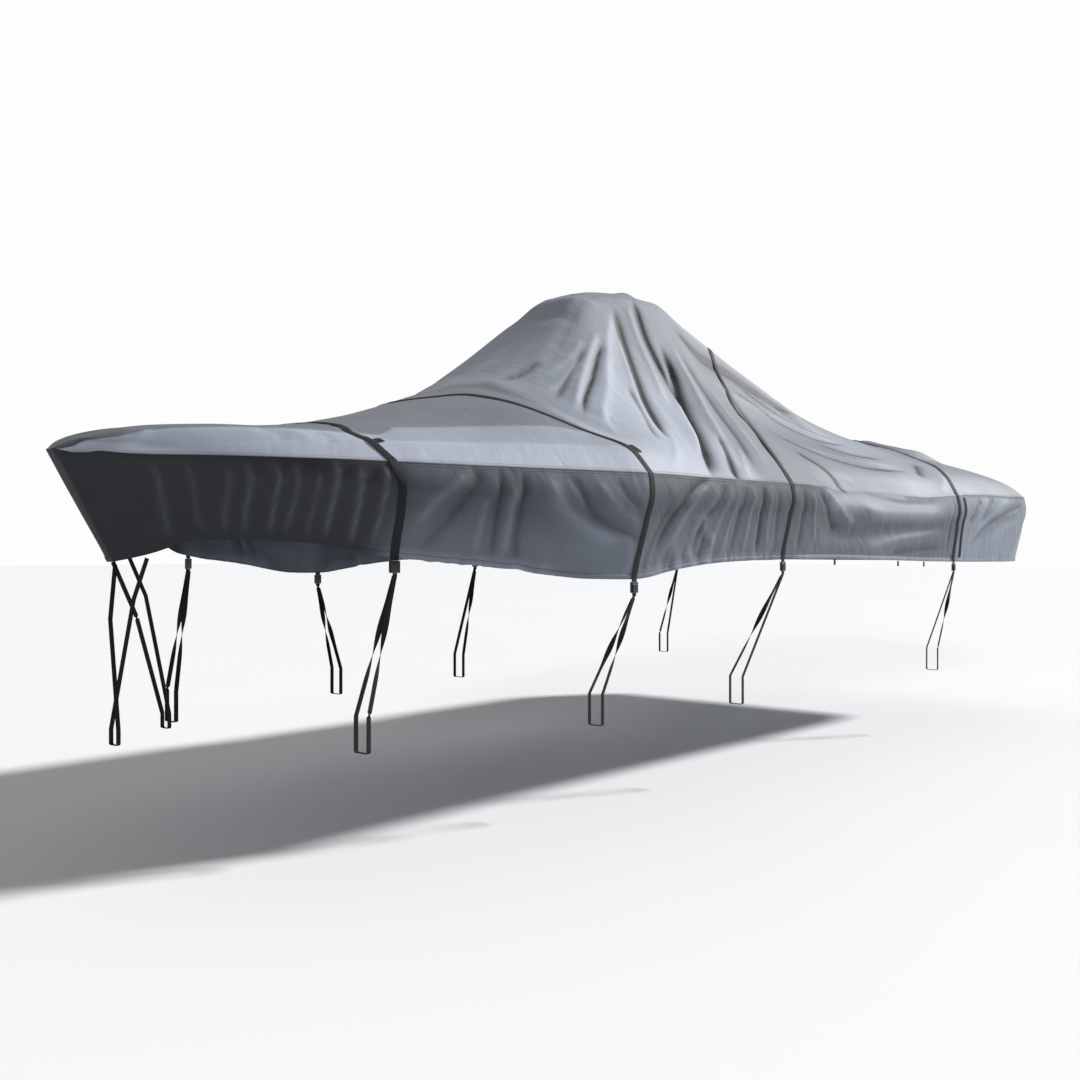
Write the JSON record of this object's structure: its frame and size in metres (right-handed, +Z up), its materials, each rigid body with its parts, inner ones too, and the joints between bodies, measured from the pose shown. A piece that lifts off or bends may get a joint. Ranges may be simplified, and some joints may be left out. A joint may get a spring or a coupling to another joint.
{
  "type": "fitted boat cover",
  "caption": "Fitted cloth cover for a centre-console boat: tent over the console, long skirts, crossing webbing straps with buckles and tie-down loops.",
  "frame": {"origin": "where the console's top meets the underside of the crown", "axes": "-X towards the bow, +X towards the stern, -Y to port, +Y to starboard, +Z up"},
  "size_m": [7.8498, 2.543, 2.4663],
  "materials": {
    "cloth_top": "coated polyester, satin, grey",
    "cloth_skirt": "coated polyester, satin, grey in shade",
    "webbing": "woven polypropylene, matt black",
    "buckle": "moulded, black"
  },
  "bodies": {
    "root": {"foredeck_panel": "cloth_top", "console_panel": "cloth_top", "skirt_port": "cloth_skirt", "skirt_starboard": "cloth_skirt", "transom_panel": "cloth_skirt", "strap_1": "webbing", "strap_2": "webbing", "strap_3": "webbing", "strap_4": "webbing", "buckle_1_port": "buckle", "tie_1_port": "webbing", "buckle_2_port": "buckle", "tie_2_port": "webbing", "buckle_3_port": "buckle", "tie_3_port": "webbing", "buckle_4_port": "buckle", "tie_4_port": "webbing", "strap_1_tail_port": "webbing", "strap_2_tail_port": "webbing", "strap_4_tail_port": "webbing", "hem_tab_1_port": "webbing", "hem_tab_2_port": "webbing", "hem_tab_3_port": "webbing", "bow_tie_port": "webbing", "buckle_1_starboard": "buckle", "tie_1_starboard": "webbing", "buckle_2_starboard": "buckle", "tie_2_starboard": "webbing", "buckle_3_starboard": "buckle", "tie_3_starboard": "webbing", "buckle_4_starboard": "buckle", "tie_4_starboard": "webbing", "strap_1_tail_starboard": "webbing", "strap_2_tail_starboard": "webbing", "strap_4_tail_starboard": "webbing", "hem_tab_1_starboard": "webbing", "hem_tab_2_starboard": "webbing", "hem_tab_3_starboard": "webbing", "bow_tie_starboard": "webbing"}
  },
  "joints": []
}
